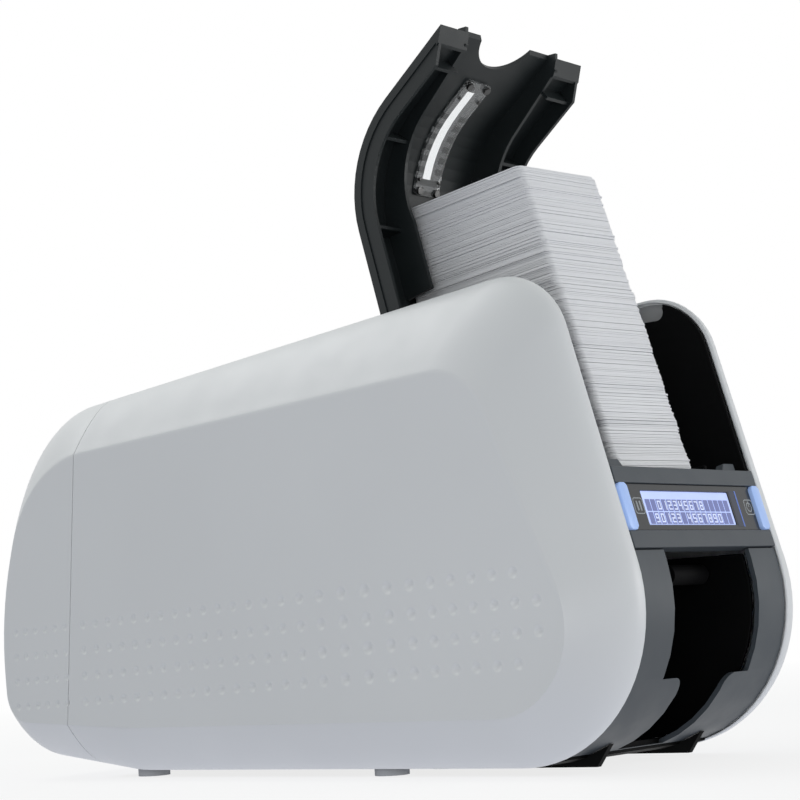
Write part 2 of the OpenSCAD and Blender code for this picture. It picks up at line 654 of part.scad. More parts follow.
module usb_port() color("silver") difference() {
  bar(usb_x - 6, usb_x + 6, plate_y - 14, io_mid_z - 5.5, 17, 11);
  bar(usb_x - 4.3, usb_x + 4.3, plate_y - 7, io_mid_z - 4, 12, 8);
}
switch_pivot = [plate_y + 1, io_mid_z];
module switch_housing() color("black") difference() {
  union() {
    bar(switch_x - 6.9, switch_x + 6.9, plate_y - 12, io_mid_z - 10.4, 15, 20.8);
    bar(switch_x - 8, switch_x + 8, plate_y + 2, io_mid_z - 12, 1.5, 24);
  }
  bar(switch_x - 6, switch_x + 6, plate_y - 10, io_mid_z - 9.8, 20, 19.6);
  pin_x(switch_x - 6.7, switch_pivot, 1 + running, 13.4);
}
module power_switch() color("#222428") {
  translate([0, switch_pivot[0], switch_pivot[1]]) along_x(switch_x - 5.8, 11.6) rotate(-8)
    polygon([[-4, -7.5], [3.4, -8.8], [2, 0], [3.4, 8.8], [-4, 7.5]]);
  pin_x(switch_x - 6.5, switch_pivot, 1, 13);
}

left_side_panel();
right_side_panel();
rear_cover();
top_cover();
top_cover_pins();
hopper_cover();
hopper_cover_pins();
level_window();
window_screws();
hinge_rail();
left_hopper_wall();
right_hopper_wall();
hopper_tray();
hopper_back();
card_stack();
front_bezel();
display_panel();
lcd_module();
pause_key();
power_key();
key_board();
stacker_front();
output_stacker();
exit_roller();
base_chassis();
feet();
left_frame();
right_frame();
tie_bars();
pick_roller();
front_feed_roller();
rear_feed_roller();
platen_roller();
drive_gear();
front_pinch_roller();
rear_pinch_roller();
drive_belt();
drive_motor();
motor_pinion();
ribbon_cartridge();
supply_spool();
takeup_spool();
ribbon_film();
printhead();
printhead_bracket();
main_board();
connector_plate();
power_inlet();
usb_port();
switch_housing();
power_switch();
panel_screws();
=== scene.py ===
import json
import math
import random
import bmesh
import bpy
from mathutils import Euler, Matrix, Vector


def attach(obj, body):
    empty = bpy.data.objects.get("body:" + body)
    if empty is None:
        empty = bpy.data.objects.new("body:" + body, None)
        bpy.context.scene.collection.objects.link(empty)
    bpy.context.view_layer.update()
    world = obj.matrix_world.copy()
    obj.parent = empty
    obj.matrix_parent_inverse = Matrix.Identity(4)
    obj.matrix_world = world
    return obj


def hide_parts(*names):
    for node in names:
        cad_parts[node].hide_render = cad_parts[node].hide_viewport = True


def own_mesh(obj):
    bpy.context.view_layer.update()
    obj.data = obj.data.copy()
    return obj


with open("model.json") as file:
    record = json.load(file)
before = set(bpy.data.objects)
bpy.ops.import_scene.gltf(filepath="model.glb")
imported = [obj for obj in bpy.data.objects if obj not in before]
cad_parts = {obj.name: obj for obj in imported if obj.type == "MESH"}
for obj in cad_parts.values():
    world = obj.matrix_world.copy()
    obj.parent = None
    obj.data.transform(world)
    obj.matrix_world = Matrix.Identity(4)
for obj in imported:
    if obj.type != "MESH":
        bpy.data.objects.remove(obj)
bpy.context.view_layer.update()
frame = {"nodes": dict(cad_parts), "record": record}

mm = 0.001  # lengths below are in millimetres
nodes = frame["nodes"]
bodyOf = {n: b for b, names in frame["record"]["behaviour"]["bodies"].items() for n in names}
printerBody = "printer_body"


# ---- camera, at the photograph's viewing angle
viewPoint = {
    "place": (-0.76625, -0.66116, 0.06476), "heading": -50.16, "rise": 6.42, "roll": 3.45, "lens": 92.2,
}


def placeCamera():
    data = bpy.data.cameras.new("viewCamera")
    data.lens = viewPoint["lens"]
    data.sensor_width = 36
    data.clip_end = 20
    camera = bpy.data.objects.new("viewCamera", data)
    bpy.context.scene.collection.objects.link(camera)
    aim = Euler((math.radians(90 + viewPoint["rise"]), 0, math.radians(viewPoint["heading"])))
    turn = aim.to_matrix() @ Matrix.Rotation(math.radians(-viewPoint["roll"]), 3, "Z")
    camera.matrix_world = Matrix.Translation(viewPoint["place"]) @ turn.to_4x4()
    bpy.context.scene.camera = camera


placeCamera()


# ---- finishes: one procedural material for each slot of the record
def link(tree, source, target):
    tree.links.new(source, target)


def newFinish(name, colour, rough, **sockets):
    material = bpy.data.materials.new(name)
    material.use_nodes = True
    shader = material.node_tree.nodes["Principled BSDF"]
    shader.inputs["Base Color"].default_value = (*colour, 1)
    shader.inputs["Roughness"].default_value = rough
    for socket, value in sockets.items():
        shader.inputs[socket.replace("_", " ")].default_value = value
    return material


def noiseOn(tree, scale, detail, stretch=(1, 1, 1)):
    place = tree.nodes.new("ShaderNodeTexCoord")
    mapping = tree.nodes.new("ShaderNodeMapping")
    mapping.inputs["Scale"].default_value = stretch
    noise = tree.nodes.new("ShaderNodeTexNoise")
    noise.inputs["Scale"].default_value = scale
    noise.inputs["Detail"].default_value = detail
    link(tree, place.outputs["Object"], mapping.inputs["Vector"])
    link(tree, mapping.outputs["Vector"], noise.inputs["Vector"])
    return noise.outputs["Fac"]


def vary(tree, factor, low, high, socket, lowAt=0.35, highAt=0.65):
    ramp = tree.nodes.new("ShaderNodeValToRGB")
    ramp.color_ramp.elements[0].position = lowAt
    ramp.color_ramp.elements[1].position = highAt
    ramp.color_ramp.elements[0].color = (*low, 1)
    ramp.color_ramp.elements[1].color = (*high, 1)
    link(tree, factor, ramp.inputs["Fac"])
    link(tree, ramp.outputs["Color"], socket)


def emboss(tree, factor, depth, shader, strength=0.5):
    bump = tree.nodes.new("ShaderNodeBump")
    bump.inputs["Distance"].default_value = depth * mm
    bump.inputs["Strength"].default_value = strength
    link(tree, factor, bump.inputs["Height"])
    link(tree, bump.outputs["Normal"], shader.inputs["Normal"])


def mouldedPlastic(name, colour, rough, grain=1100, depth=0.02, tint=0.04, **sockets):
    # moulded plastic: a fine spark-eroded grain, a slow drift of tone and a little uneven gloss
    material = newFinish(name, colour, rough, **sockets)
    tree = material.node_tree
    shader = tree.nodes["Principled BSDF"]
    darker = [c * (1 - tint) for c in colour]
    lighter = [min(1, c * (1 + tint)) for c in colour]
    vary(tree, noiseOn(tree, 9, 3), darker, lighter, shader.inputs["Base Color"])
    vary(tree, noiseOn(tree, 60, 4), [rough * 0.9] * 3, [min(1, rough * 1.1)] * 3, shader.inputs["Roughness"])
    emboss(tree, noiseOn(tree, grain, 2), depth, shader)
    return material


def metalSheet(name, colour, rough, stretch=(1, 1, 1), scale=300):
    material = newFinish(name, colour, rough, Metallic=1.0)
    tree = material.node_tree
    shader = tree.nodes["Principled BSDF"]
    streaks = noiseOn(tree, scale, 5, stretch)
    vary(tree, streaks, [rough * 0.75] * 3, [min(1, rough * 1.3)] * 3, shader.inputs["Roughness"])
    vary(tree, noiseOn(tree, 25, 4), [c * 0.9 for c in colour], colour, shader.inputs["Base Color"])
    emboss(tree, streaks, 0.01, shader, 0.3)
    return material


def glowing(name, colour, strength, rough=0.25):
    material = newFinish(name, colour, rough)
    tree = material.node_tree
    shader = tree.nodes["Principled BSDF"]
    vary(tree, noiseOn(tree, 60, 2), [c * 0.94 for c in colour], colour, shader.inputs["Base Color"])
    vary(tree, noiseOn(tree, 45, 2), [c * 0.9 for c in colour], colour, shader.inputs["Emission Color"])
    shader.inputs["Emission Strength"].default_value = strength
    return material


def clearPlastic(name, colour, rough):
    material = newFinish(name, colour, rough, Transmission_Weight=0.93, IOR=1.45)
    tree = material.node_tree
    shader = tree.nodes["Principled BSDF"]
    vary(tree, noiseOn(tree, 90, 3), [rough * 0.7] * 3, [rough * 1.4] * 3, shader.inputs["Roughness"])
    return material


def cardEdges(name):
    # stacked white cards: each card has a tone of its own, with fine streaks from the die that cut it; the
    # darkest tones are a painted shadow in the gaps between cards
    material = newFinish(name, (0.62, 0.62, 0.64), 0.5)
    tree = material.node_tree
    shader = tree.nodes["Principled BSDF"]
    tone = tree.nodes.new("ShaderNodeAttribute")
    tone.attribute_name = "toneAndGapShade"
    streaks = noiseOn(tree, 220, 3, (0.3, 0.3, 4))
    blend = tree.nodes.new("ShaderNodeMix")
    blend.inputs["Factor"].default_value = 0.3
    link(tree, tone.outputs["Fac"], blend.inputs["A"])
    link(tree, streaks, blend.inputs["B"])
    vary(tree, blend.outputs["Result"], (0.40, 0.41, 0.44), (0.88, 0.885, 0.90), shader.inputs["Base Color"],
         0.1, 0.72)
    emboss(tree, noiseOn(tree, 700, 2), 0.01, shader)
    return material


finishes = {
    "shell": mouldedPlastic("whiteShell", (0.80, 0.815, 0.82), 0.42, tint=0.012, depth=0.012),
    "dark_shell": mouldedPlastic("darkShell", (0.060, 0.071, 0.082), 0.45, Specular_IOR_Level=0.35),
    "cover": mouldedPlastic("charcoalCover", (0.013, 0.017, 0.018), 0.42, Specular_IOR_Level=0.3),
    "black": mouldedPlastic("blackPlastic", (0.0016, 0.0018, 0.0020), 0.66, Specular_IOR_Level=0.08),
    "window": clearPlastic("clearWindow", (0.90, 0.92, 0.93), 0.03),
    "screw": metalSheet("blackScrew", (0.10, 0.10, 0.10), 0.35),
    "card": cardEdges("cardStock"),
    "panel": mouldedPlastic("displaySurround", (0.020, 0.023, 0.026), 0.22, depth=0.004),
    "screen": glowing("litScreen", (0.40, 0.47, 0.85), 0.45),
    "key": glowing("litKey", (0.34, 0.49, 0.84), 0.30, 0.3),
    "board": mouldedPlastic("circuitBoard", (0.012, 0.10, 0.045), 0.35, grain=500, depth=0.03, tint=0.2),
    "foot": mouldedPlastic("rubberFoot", (0.50, 0.51, 0.52), 0.8, depth=0.03),
    "steel": metalSheet("platedSteel", (0.55, 0.55, 0.56), 0.38, (1, 0.1, 1)),
    "roller": mouldedPlastic("rollerRubber", (0.004, 0.004, 0.0045), 0.7, depth=0.03, Specular_IOR_Level=0.1),
    "gear": mouldedPlastic("gearPlastic", (0.62, 0.58, 0.46), 0.45, depth=0.01),
    "brass": metalSheet("pinionBrass", (0.70, 0.48, 0.18), 0.3),
    "cartridge": mouldedPlastic("cartridgePlastic", (0.55, 0.56, 0.58), 0.45, depth=0.01),
    "ribbon": mouldedPlastic("dyeRibbon", (0.020, 0.026, 0.085), 0.18, depth=0.006),
    "head": mouldedPlastic("headCeramic", (0.30, 0.22, 0.11), 0.3, depth=0.01),
}
slotOf = {row["node"]: row["material_slot"] for row in frame["record"]["subparts"]}


def dressWith(ob, finish):
    ob.data.materials.clear()
    ob.data.materials.append(finish)


for nodeName, ob in nodes.items():
    dressWith(ob, finishes[slotOf[nodeName]])
print("finishes made and put on the frame")


# ---- modelling helpers
def deselect():
    if bpy.context.object and bpy.context.object.mode == "EDIT":
        bpy.ops.object.mode_set(mode="OBJECT")
    bpy.ops.object.select_all(action="DESELECT")


def makeActive(ob):
    deselect()
    ob.select_set(True)
    bpy.context.view_layer.objects.active = ob


def finishPiece(ob, name, body, finish, standsFor=(), angle=30):
    # the place goes into the mesh, then the piece rides on its body
    makeActive(ob)
    bpy.ops.object.transform_apply(location=True, rotation=True, scale=True)
    bpy.ops.object.shade_smooth_by_angle(angle=math.radians(angle))
    ob.name = name
    ob.data.name = name
    dressWith(ob, finish)
    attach(ob, body)
    if standsFor:
        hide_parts(*standsFor)


def applyModifier(ob, kind, **settings):
    makeActive(ob)
    modifier = ob.modifiers.new(kind.title(), kind)
    for key, value in settings.items():
        setattr(modifier, key, value)
    bpy.ops.object.modifier_apply(modifier=modifier.name)


def placedCopy(name, mesh, place):
    # a copy with a mesh of its own, and its place in that mesh
    ob = bpy.data.objects.new(name, mesh.copy())
    bpy.context.scene.collection.objects.link(ob)
    ob.data.transform(place)
    return ob


def shiftBy(shift):
    return Matrix.Translation([c * mm for c in shift])


def pickIn(ob, kind, test):
    # opens the piece in edit mode, with only the faces or edges selected that pass the test
    makeActive(ob)
    bpy.ops.object.mode_set(mode="EDIT")
    bpy.ops.mesh.select_mode(type=kind)
    bpy.ops.mesh.select_all(action="DESELECT")
    mesh = bmesh.from_edit_mesh(ob.data)
    for part in (mesh.faces if kind == "FACE" else mesh.edges):
        if test(part):
            part.select_set(True)
    bmesh.update_edit_mesh(ob.data)


def recalculate(ob):
    makeActive(ob)
    bpy.ops.object.mode_set(mode="EDIT")
    bpy.ops.mesh.select_all(action="SELECT")
    bpy.ops.mesh.remove_doubles(threshold=0.002 * mm)
    bpy.ops.mesh.normals_make_consistent(inside=False)
    bpy.ops.object.mode_set(mode="OBJECT")


# points this many millimetres apart are one, and faces this many degrees apart are one flat face
fineCopy = {"mergeWithin": 0.001, "flatWithin": 0.6}


def roundedCopy(node, bevel, segments, angle, smooth=35):
    # a finer copy of a plain solid: merged, its flat faces joined and its edges rounded
    ob = placedCopy(node + "Fine", nodes[node].data, Matrix())
    makeActive(ob)
    bpy.ops.object.mode_set(mode="EDIT")
    bpy.ops.mesh.select_all(action="SELECT")
    bpy.ops.mesh.remove_doubles(threshold=fineCopy["mergeWithin"] * mm)
    bpy.ops.mesh.dissolve_limited(angle_limit=math.radians(fineCopy["flatWithin"]))
    bpy.ops.mesh.quads_convert_to_tris(quad_method="BEAUTY", ngon_method="BEAUTY")
    bpy.ops.object.mode_set(mode="OBJECT")
    applyModifier(ob, "BEVEL", width=bevel * mm, segments=segments, limit_method="ANGLE",
                  angle_limit=math.radians(angle))
    finishPiece(ob, node + "_fine", bodyOf[node], finishes[slotOf[node]], [node], smooth)
    applyModifier(ob, "WEIGHTED_NORMAL", keep_sharp=True)


# ---- side outline of the body: six edges and six rounded corners
bodyOutline = {
    "length": 389, "height": 215, "rim": 57.5, "bulge": 29, "wall": 2.5, "belly": 3.5,
    "frontLean": 15, "topFall": 5.5, "frontLowR": 67, "frontTopR": 34,
    "rearR": 300, "rearTopR": 56, "rearLowR": 30, "riseFrom": (108, 3.5), "riseA": -82.5,
    "rearCentreZ": 60, "rearLowA": -4, "underR": 60, "leastR": 3,
    "steps": (3, 9, 8, 14, 12, 22),
}
# the flat field has its own edges: each a normal angle and a point that it passes through
# where the angle is None, it lies parallel to the outline's own edge, so far inside it
flatField = {
    "edges": ((-90, (0, 26)), (-87, (140, 28.6)), (-4, (180.5, 50)), (None, 18), (86.9, (64.7, 165.2)),
              (157.6, (-147.4, 134.1))),
    "radii": (60, 16, 160, 60, 30, 38),
}


def unit(a):
    return Vector((math.cos(math.radians(a)), math.sin(math.radians(a))))


def solveOutline():
    o = bodyOutline
    frontA = 180 - o["frontLean"]
    topA = 90 - o["topFall"]
    rearC = Vector((o["length"] / 2 - o["rearR"], o["rearCentreZ"]))
    lowC = Vector((-o["length"] / 2 + o["frontLowR"], o["belly"] + o["frontLowR"]))
    frontD = lowC.dot(unit(frontA)) + o["frontLowR"]
    topCz = o["height"] - o["frontTopR"]
    topCy = (frontD - o["frontTopR"] - unit(frontA).y * topCz) / unit(frontA).x
    topD = Vector((topCy, topCz)).dot(unit(topA)) + o["frontTopR"]
    share = (topD - o["rearTopR"] - rearC.dot(unit(topA))) / (o["rearR"] - o["rearTopR"])
    rearHighA = topA - math.degrees(math.acos(share))
    angles = [-90, o["riseA"], o["rearLowA"], rearHighA, topA, frontA]
    distances = [-o["belly"], Vector(o["riseFrom"]).dot(unit(o["riseA"])),
                 rearC.dot(unit(o["rearLowA"])) + o["rearR"],
                 rearC.dot(unit(rearHighA)) + o["rearR"], topD, frontD]
    radii = [o["underR"], o["rearLowR"], o["rearR"], o["rearTopR"], o["frontTopR"], o["frontLowR"]]
    return angles, distances, radii


edgeAngles, edgeDistances, cornerRadii = solveOutline()
fieldAngles = [a if a is not None else edgeAngles[i] for i, (a, place) in enumerate(flatField["edges"])]
fieldDistances = [Vector(place).dot(unit(fieldAngles[i])) if a is not None else edgeDistances[i] - place
                  for i, (a, place) in enumerate(flatField["edges"])]


def meet(a1, d1, a2, d2):
    turn = math.sin(math.radians(a2 - a1))
    y = (d1 * unit(a2).y - d2 * unit(a1).y) / turn
    z = (d2 * unit(a1).x - d1 * unit(a2).x) / turn
    return Vector((y, z))


def outlinePoints(angles, distances, radii):
    points = []
    for i in range(6):
        k = (i + 1) % 6
        a1 = angles[i]
        a2 = angles[k] if i < 5 else angles[0] + 360
        centre = meet(a1, distances[i] - radii[i], a2, distances[k] - radii[i])
        steps = bodyOutline["steps"][i]
        points += [centre + radii[i] * unit(a1 + (a2 - a1) * s / steps) for s in range(steps + 1)]
    return points


def mixed(start, end, share):
    return [a + (b - a) * share for a, b in zip(start, end)]


def panelRing(share, inset=0):
    # the outline a given share of the way from the rim to the flat field
    distances = [d - inset for d in mixed(edgeDistances, fieldDistances, share)]
    radii = [max(r - inset, bodyOutline["leastR"]) for r in mixed(cornerRadii, flatField["radii"], share)]
    return outlinePoints(mixed(edgeAngles, fieldAngles, share), distances, radii)


def frontY(z):
    a = edgeAngles[5]
    return (edgeDistances[5] - z * unit(a).y) / unit(a).x


# ---- white shells: a lofted pillow with a flat field and rows of pressed dimples
pillow = {
    "start": (0.02, 0.0), "pullA": (0.36, -0.04), "pullB": (0.80, 0.62), "end": (1.0, 1.0), "rings": 16,
    "curveFrom": 0.09, "beforeCrease": (0.988, 0.972), "creaseGuard": 1.2, "fieldWithin": 0.01,
    "lip": [(0.0, 0.035), (0.006, 0.016), (0.02, 0.004), (0.05, 0.0)],
}
dimples = {
    "rowZ": (86.0, 73.5, 61.0, 48.3), "rowFrom": -149, "fall": 0.033,
    "frontY": (-148.8, -160.2, -160.2, -148.8),
    "seamStop": 123, "rearY": 133.2, "rearPitch": 7.6, "rearCount": 6,
    "pitch": 9.15, "drift": 0.0068, "swell": 3.3, "swellAt": -66, "swellWidth": 36,
    "radius": 3.3, "widestPitch": 13.9, "depth": 1.35, "sizePower": 0.85, "depthPower": 1.1, "sides": 20,
    "profile": [(1.22, 0), (1.04, 0), (0.93, 0.05), (0.78, 0.24), (0.58, 0.58), (0.34, 0.88), (0.14, 0.99)],
}
seam = {"y": 128, "z": 90, "gap": 0.5}


def bezier(p0, p1, p2, p3, t):
    u = 1 - t
    return [u**3 * a + 3 * u * u * t * b + 3 * u * t * t * c + t**3 * d for a, b, c, d in zip(p0, p1, p2, p3)]


def pillowProfile():
    p = pillow
    curve = [bezier(p["start"], p["pullA"], p["pullB"], p["end"], i / p["rings"])
             for i in range(1, p["rings"])]
    curve = [(s, max(f, 0)) for s, f in curve if s > p["curveFrom"]]
    return curve + [p["beforeCrease"], p["end"]]


def dimplePlaces(row):
    # the pitch is widest a third of the way back and closes up towards the rear
    d = dimples
    z0 = d["rowZ"][row]
    y = d["frontY"][row]
    places = []
    while y < d["seamStop"]:
        pitch = d["pitch"] + d["drift"] * (d["seamStop"] - y)
        pitch += d["swell"] * math.exp(-(((y - d["swellAt"]) / d["swellWidth"]) ** 2))
        places.append((y, z0 - d["fall"] * (y - d["rowFrom"]), pitch))
        y += pitch
    for i in range(d["rearCount"]):
        y = d["rearY"] + i * d["rearPitch"]
        places.append((y, z0 - d["fall"] * (y - d["rowFrom"]), d["rearPitch"]))
    return places


def placeSelected(ob, previous, ring, x):
    # the points just extruded lie on the previous ring; each goes to its own place on the next one
    mesh = bmesh.from_edit_mesh(ob.data)
    order = {place: i for i, place in enumerate(previous)}
    placed = [None] * len(ring)
    for v in mesh.verts:
        if v.select:
            i = order[tuple(v.co)]
            v.co = (x * mm, ring[i].x * mm, ring[i].y * mm)
            placed[i] = tuple(v.co)
    bmesh.update_edit_mesh(ob.data)
    return placed


def loftRings(rings):
    # rings: (x, list of [y, z]) from one rim to the other
    deselect()
    x, ring = rings[0]
    bpy.ops.mesh.primitive_circle_add(vertices=len(ring), radius=0.1)
    ob = bpy.context.object
    for v, p in zip(ob.data.vertices, ring):
        v.co = (x * mm, p.x * mm, p.y * mm)
    previous = [tuple(v.co) for v in ob.data.vertices]
    bpy.ops.object.mode_set(mode="EDIT")
    bpy.ops.mesh.select_mode(type="VERT")
    bpy.ops.mesh.select_all(action="SELECT")
    for x, ring in rings[1:]:
        bpy.ops.mesh.extrude_region_move()
        previous = placeSelected(ob, previous, ring, x)
    bpy.ops.object.mode_set(mode="OBJECT")
    return ob


def oneDimple():
    # a dimple of one millimetre's radius and depth: a disc, inset and sunk step by step
    steps = dimples["profile"]
    deselect()
    bpy.ops.mesh.primitive_circle_add(vertices=dimples["sides"], radius=steps[0][0] * mm, fill_type="NGON",
                                      rotation=(0, math.radians(90), 0))
    bpy.ops.object.transform_apply(location=False, rotation=True, scale=False)
    bpy.ops.object.mode_set(mode="EDIT")
    bpy.ops.mesh.select_mode(type="FACE")
    bpy.ops.mesh.select_all(action="SELECT")
    for (share, sink), (nextShare, nextSink) in zip(steps, steps[1:]):
        bpy.ops.mesh.inset(thickness=(share - nextShare) * mm, depth=(sink - nextSink) * mm)
    bpy.ops.object.mode_set(mode="OBJECT")
    return bpy.context.object


def pressDimples(x, inward):
    d = dimples
    one = oneDimple()
    made = []
    for row in range(4):
        for y, z, pitch in dimplePlaces(row):
            size = d["radius"] * (pitch / d["widestPitch"]) ** d["sizePower"]
            depth = d["depth"] * (pitch / d["widestPitch"]) ** d["depthPower"]
            place = shiftBy((x, y, z)) @ Matrix.Diagonal((-inward * depth, size, size, 1))
            made.append(placedCopy("dimple", one.data, place))
    bpy.data.objects.remove(one)
    return joinInto(made[0], made[1:])


def fillField(ob, x):
    # the flat field is filled between its own edge and the rims of the dimples
    pickIn(ob, "EDGE", lambda edge: edge.is_boundary
           and all(abs(v.co.x - x * mm) < pillow["fieldWithin"] * mm for v in edge.verts))
    bpy.ops.mesh.fill(use_beauty=True)
    bpy.ops.object.mode_set(mode="OBJECT")


def joinInto(ob, others):
    makeActive(ob)
    for other in others:
        other.select_set(True)
    bpy.ops.object.join()
    return ob


def cutAtSeam(ob, keepRear):
    # the seam leans, its top forward, with half of the gap on each side
    lean = math.radians(bodyOutline["topFall"])
    shift = (0.5 if keepRear else -0.5) * seam["gap"]
    makeActive(ob)
    bpy.ops.object.mode_set(mode="EDIT")
    bpy.ops.mesh.select_all(action="SELECT")
    bpy.ops.mesh.bisect(plane_co=(0, (seam["y"] + shift) * mm, seam["z"] * mm),
                        plane_no=(0, math.cos(lean), math.sin(lean)),
                        clear_inner=keepRear, clear_outer=not keepRear)
    bpy.ops.object.mode_set(mode="OBJECT")


def sidePanel(side):
    o = bodyOutline
    profile = pillow["lip"] + pillowProfile()
    rings = [(side * (o["rim"] + o["bulge"] * s), panelRing(f)) for s, f in profile]
    fieldX = side * (o["rim"] + o["bulge"])
    rings.append((fieldX, panelRing(1, pillow["creaseGuard"])))
    ob = loftRings(rings)
    joinInto(ob, [pressDimples(fieldX, -side)])
    fillField(ob, fieldX)
    cutAtSeam(ob, False)
    recalculate(ob)
    return ob


def orientOutward(ob, side):
    # an open shell: the flat field has to face away from the middle
    makeActive(ob)
    field = max(ob.data.polygons, key=lambda f: side * f.center.x)
    if side * field.normal.x < 0:
        bpy.ops.object.mode_set(mode="EDIT")
        bpy.ops.mesh.select_all(action="SELECT")
        bpy.ops.mesh.flip_normals()
        bpy.ops.object.mode_set(mode="OBJECT")


def makeSidePanels():
    for side, name in ((-1, "left_side_panel"), (1, "right_side_panel")):
        ob = sidePanel(side)
        orientOutward(ob, side)
        applyModifier(ob, "SOLIDIFY", thickness=bodyOutline["wall"] * mm, offset=-1, use_even_offset=False)
        finishPiece(ob, name + "_shell", printerBody, finishes["shell"], [name], 28)
    print("side panels lofted")


makeSidePanels()


def editBevel(ob, offset, segments, pick):
    # rounds the picked edges
    pickIn(ob, "EDGE", pick)
    bpy.ops.mesh.bevel(offset=offset * mm, segments=segments, affect="EDGES")
    bpy.ops.object.mode_set(mode="OBJECT")


def alongAxis(axis):
    def test(edge):
        direction = (edge.verts[0].co - edge.verts[1].co).normalized()
        return abs(direction[axis]) > 0.99
    return test


def shapedBox(low, high, bevel=0.4, segments=2, corner=0, cornerAxis=2, cornerSteps=1):
    # a cube at its size and place, with its corners along one axis cut and then its edges rounded
    deselect()
    bpy.ops.mesh.primitive_cube_add(size=1, location=[(a + b) / 2 * mm for a, b in zip(low, high)])
    ob = bpy.context.object
    ob.scale = [(b - a) * mm for a, b in zip(low, high)]
    bpy.ops.object.transform_apply(location=True, rotation=False, scale=True)
    if corner:
        editBevel(ob, corner, cornerSteps, alongAxis(cornerAxis))
    if bevel:
        applyModifier(ob, "BEVEL", width=bevel * mm, segments=segments, limit_method="ANGLE",
                      angle_limit=math.radians(25))
    return ob


def cutWith(ob, cutter):
    applyModifier(ob, "BOOLEAN", operation="DIFFERENCE", solver="EXACT", object=cutter)
    bpy.data.objects.remove(cutter)


leftover = {"slack": 0.02, "across": 0.3, "closeWithin": 0.1}


def clearInside(ob, low, high, axis):
    # the cut leaves faces across the opening, and walls that reach the inner end of the cutter: both go, and
    # the rim that they leave is closed
    slack = leftover["slack"] * mm
    start, end = [[c * mm for c in corner] for corner in (low, high)]

    def isLeftover(face):
        if not all(a - slack < c < b + slack for v in face.verts for c, a, b in zip(v.co, start, end)):
            return False
        reach = min(v.co[axis] for v in face.verts) - start[axis]
        return reach < slack or abs(face.normal[axis]) > leftover["across"]

    pickIn(ob, "FACE", isLeftover)
    bpy.ops.mesh.delete(type="FACE")
    bpy.ops.mesh.select_mode(type="VERT")
    bpy.ops.mesh.select_non_manifold(extend=False, use_wire=False, use_multi_face=False,
                                     use_non_contiguous=False, use_verts=False)
    bpy.ops.mesh.remove_doubles(threshold=leftover["closeWithin"] * mm)
    bpy.ops.object.mode_set(mode="OBJECT")


# ---- rear cover: one shell from field to field, behind the seam
rearCover = {
    "hingeRoom": ((-57.5, 63, 155), (57.5, 123, 240)),
    "window": ((-44, 176, 26), (44, 215, 60)), "windowRim": ((-47, 183.5, 23), (47, 192.1, 63)),
    "windowCorner": 1.5, "lip": [(0.02, 0.0), (0.05, 0.0)],
    "vents": 10, "ventPitch": 8, "ventWidth": 3, "ventY": (160, 205), "ventZ": (92, 126), "ventCorner": 1.3,
}


def openingCutter(low, high, corner):
    return shapedBox(low, high, bevel=0, corner=corner, cornerAxis=1, cornerSteps=4)


def makeRearCover():
    o = bodyOutline
    r = rearCover
    fieldX = o["rim"] + o["bulge"]
    half = [(o["rim"] + o["bulge"] * s, panelRing(f)) for s, f in r["lip"] + pillowProfile()]
    half.append((fieldX, panelRing(1, pillow["creaseGuard"])))
    ob = loftRings([(-x, ring) for x, ring in reversed(half)] + half)
    joinInto(ob, [pressDimples(-fieldX, 1), pressDimples(fieldX, -1)])
    for x in (-fieldX, fieldX):
        fillField(ob, x)
    cutAtSeam(ob, True)
    recalculate(ob)
    orientOutward(ob, 1)
    applyModifier(ob, "SOLIDIFY", thickness=o["wall"] * mm, offset=-1, use_even_offset=False)
    cutWith(ob, shapedBox(*r["hingeRoom"], bevel=0))
    clearInside(ob, *r["hingeRoom"], 2)
    cutWith(ob, openingCutter(*r["window"], r["windowCorner"]))
    clearInside(ob, *r["window"], 1)
    for i in range(r["vents"]):
        x = (i - (r["vents"] - 1) / 2) * r["ventPitch"]
        low = (x - r["ventWidth"] / 2, r["ventY"][0], r["ventZ"][0])
        high = (x + r["ventWidth"] / 2, r["ventY"][1], r["ventZ"][1])
        cutWith(ob, openingCutter(low, high, r["ventCorner"]))
        clearInside(ob, low, high, 1)
    rim = shapedBox(*r["windowRim"], bevel=0.4)
    cutWith(rim, openingCutter(*r["window"], r["windowCorner"]))
    joinInto(ob, [rim])
    finishPiece(ob, "rear_cover_shell", printerBody, finishes["shell"], ["rear_cover"], 28)
    print("rear cover lofted and cut")


makeRearCover()


# ---- pack of cards: each card alone, pushed a little out of line
pack = {
    "count": 190, "size": (54, 85.6, 0.66), "corner": 3.18, "cornerSteps": 3, "height": 146,
    "base": (-4, -173, 127), "tilt": 5.7, "lean": 16.4, "seed": 11,
    "askew": -5, "slip": 0.16, "groupOf": (5, 17), "groupSlip": 0.45, "yaw": 0.12,
    "outlier": 0.06, "outlierSlip": (0.9, 0.8), "lift": 0.05, "drops": (0, 0, 0, 0.05, 0.09), "keep": 0.33,
    # the dark tones are a painted shadow in the gaps between cards, given more often in the lower part of the
    # pack
    "tones": (0.70, 1.0), "gapShadeTones": (0.05, 0.4), "gapShadeShare": (0.24, 0.06), "gapShadeUpTo": 0.36,
    "frontTone": 0.95, "frontBlend": (0.3, 0.7),
}


